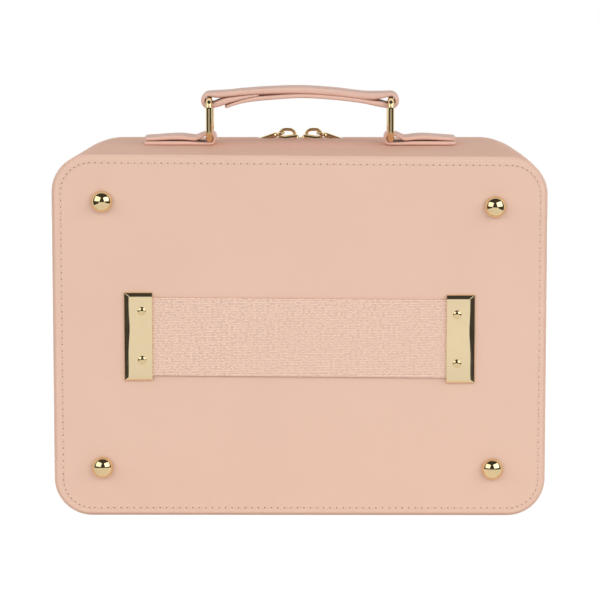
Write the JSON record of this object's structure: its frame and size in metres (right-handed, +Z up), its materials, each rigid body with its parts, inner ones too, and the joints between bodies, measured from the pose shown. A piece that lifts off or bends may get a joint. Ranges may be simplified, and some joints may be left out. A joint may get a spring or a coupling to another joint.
{
  "type": "makeup train case",
  "caption": "Upright zip-around makeup train case in soft pink leather with a ring-hung carry handle, a padded divider tray, a mirror lid, dome feet and an elastic trolley band.",
  "frame": {"origin": "centre of the flat base, half way across the width and the depth of the leather body, on the floor plane", "axes": "+X to the right as the back panel is looked at, +Y from the back panel towards the lid, +Z up through the handle"},
  "size_m": [0.3, 0.1566, 0.2591],
  "materials": {
    "wall_leather": "satin",
    "panel_leather": "satin",
    "strap_leather": "satin",
    "elastic_band": "matte",
    "zip_tape": "matte",
    "lining_cloth": "matte",
    "divider_cloth": "matte",
    "fibre_board": "matte",
    "foam": "matte",
    "gold_metal": "polished",
    "steel": "satin",
    "mirror": "polished",
    "bezel_plastic": "matte"
  },
  "bodies": {
    "tray": {"tray_cover": "wall_leather", "back_panel": "panel_leather", "hinge_strip": "strap_leather", "handle_tab_left": "strap_leather", "handle_tab_right": "strap_leather", "tray_board": "fibre_board", "back_foam": "foam", "tray_lining": "lining_cloth", "tray_zip_tape": "zip_tape", "trolley_band": "elastic_band", "foot_washers": "steel", "strap_washers": "steel", "handle_rivets_left": "steel", "handle_rivets_right": "steel", "handle_backing_plate_left": "steel", "handle_backing_plate_right": "steel", "divider_long": "divider_cloth", "divider_upper_left": "divider_cloth", "divider_upper_right": "divider_cloth", "divider_lower_left": "divider_cloth", "divider_lower_middle": "divider_cloth", "divider_lower_right": "divider_cloth", "foot_left_low": "gold_metal", "foot_right_low": "gold_metal", "foot_left_high": "gold_metal", "foot_right_high": "gold_metal", "strap_plate_left": "gold_metal", "strap_plate_right": "gold_metal", "strap_rivets_left": "gold_metal", "strap_rivets_right": "gold_metal", "tray_zip_teeth": "gold_metal", "tray_zip_stops": "gold_metal"},
    "lid": {"lid_cover": "wall_leather", "lid_board": "fibre_board", "front_panel": "panel_leather", "lid_lining": "lining_cloth", "lid_zip_tape": "zip_tape", "lid_zip_teeth": "gold_metal", "lid_zip_stops": "gold_metal", "hinge_strip_lid_half": "strap_leather", "mirror_glass": "mirror", "mirror_bezel": "bezel_plastic"},
    "left_ring": {"handle_ring_left": "gold_metal"},
    "right_ring": {"handle_ring_right": "gold_metal"},
    "handle": {"handle_strap": "strap_leather"},
    "left_slider": {"zip_slider_left": "gold_metal"},
    "right_slider": {"zip_slider_right": "gold_metal"},
    "left_pull": {"zip_pull_left": "gold_metal"},
    "right_pull": {"zip_pull_right": "gold_metal"}
  },
  "joints": [
    {"name": "lid_hinge", "type": "hinge", "parent": "tray", "child": "lid", "pos_m": [0, 0.051, 0.0033], "axis": [-1, 0, 0], "range_deg": [0, 110]},
    {"name": "left_slider_run", "type": "slide", "parent": "tray", "child": "left_slider", "axis": [-1, 0, 0], "range_m": [0, 0.108]},
    {"name": "right_slider_run", "type": "slide", "parent": "tray", "child": "right_slider", "axis": [1, 0, 0], "range_m": [0, 0.108]},
    {"name": "left_pull_flip", "type": "hinge", "parent": "left_slider", "child": "left_pull", "pos_m": [-0.011, 0.051, 0.2249], "axis": [0, 1, 0], "range_deg": [0, 110]},
    {"name": "right_pull_flip", "type": "hinge", "parent": "right_slider", "child": "right_pull", "pos_m": [0.011, 0.051, 0.2249], "axis": [0, -1, 0], "range_deg": [0, 110]},
    {"name": "handle_fold", "type": "hinge", "parent": "tray", "child": "left_ring", "pos_m": [-0.0565, 0, 0.22615], "axis": [0, 1, 0], "range_deg": [-60, 60]},
    {"name": "right_ring_fold", "type": "hinge", "parent": "tray", "child": "right_ring", "pos_m": [0.0565, 0, 0.22615], "axis": [0, 1, 0], "range_deg": [-60, 60]},
    {"name": "handle_level", "type": "hinge", "parent": "left_ring", "child": "handle", "pos_m": [-0.0565, 0, 0.24975], "axis": [0, 1, 0], "range_deg": [-60, 60]}
  ],
  "couplings": [
    {"joint": "right_ring_fold", "follows": "handle_fold", "ratio": 1},
    {"joint": "handle_level", "follows": "handle_fold", "ratio": -1}
  ]
}
